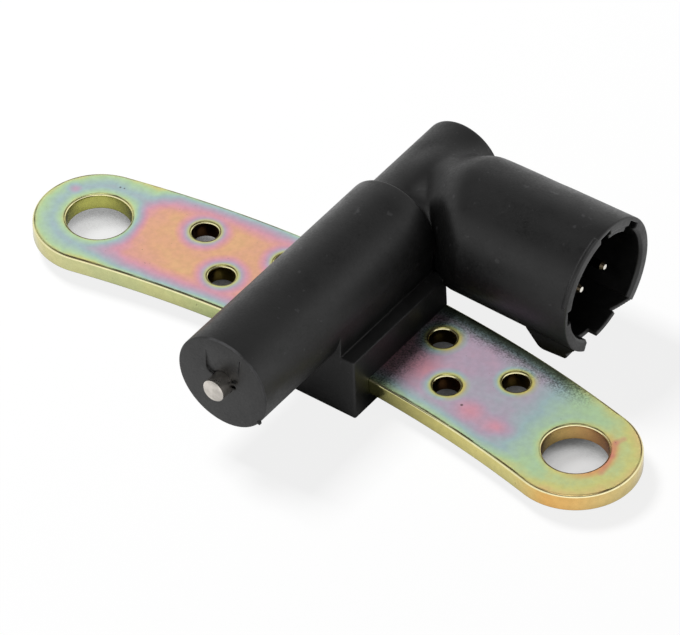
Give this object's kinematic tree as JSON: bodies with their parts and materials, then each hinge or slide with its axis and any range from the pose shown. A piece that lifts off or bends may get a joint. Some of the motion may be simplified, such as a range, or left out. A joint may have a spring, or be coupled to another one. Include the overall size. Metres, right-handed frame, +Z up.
{
  "type": "crankshaft position sensor",
  "caption": "Inductive crankshaft position sensor: black moulded barrel with pole pin and side connector shroud on an arc-shaped plated steel plate with bolt ears.",
  "frame": {"origin": "on the flat foot of the housing's block, straight below the middle of the arc on which the two bolt holes lie", "axes": "+X along the plate from the left ear to the right ear, which is also the way the connector opens; +Y from the sensing tip to the connector end; +Z up, out of the plate's face on the barrel's side"},
  "size_m": [0.1134, 0.0662, 0.0273],
  "materials": {
    "yellow_zinc": "yellow chromated zinc plate with an iridescent sheen",
    "black_plastic": "satin black moulded plastic",
    "bright_steel": "bright turned steel",
    "sintered_magnet": "dark sintered magnet",
    "bobbin_plastic": "natural moulded plastic",
    "enamelled_copper": "enamelled copper wire",
    "polyester_tape": "amber polyester tape",
    "tinned_brass": "tinned brass",
    "carrier_plastic": "black moulded plastic"
  },
  "bodies": {
    "root": {"mounting_plate": "yellow_zinc", "sensor_housing": "black_plastic", "pole_piece": "bright_steel", "magnet": "sintered_magnet", "coil_bobbin": "bobbin_plastic", "coil_winding": "enamelled_copper", "coil_tape": "polyester_tape", "lead_wire_left": "enamelled_copper", "lead_wire_right": "enamelled_copper", "contact_pin_left": "tinned_brass", "contact_pin_right": "tinned_brass", "terminal_carrier": "carrier_plastic"}
  },
  "joints": []
}
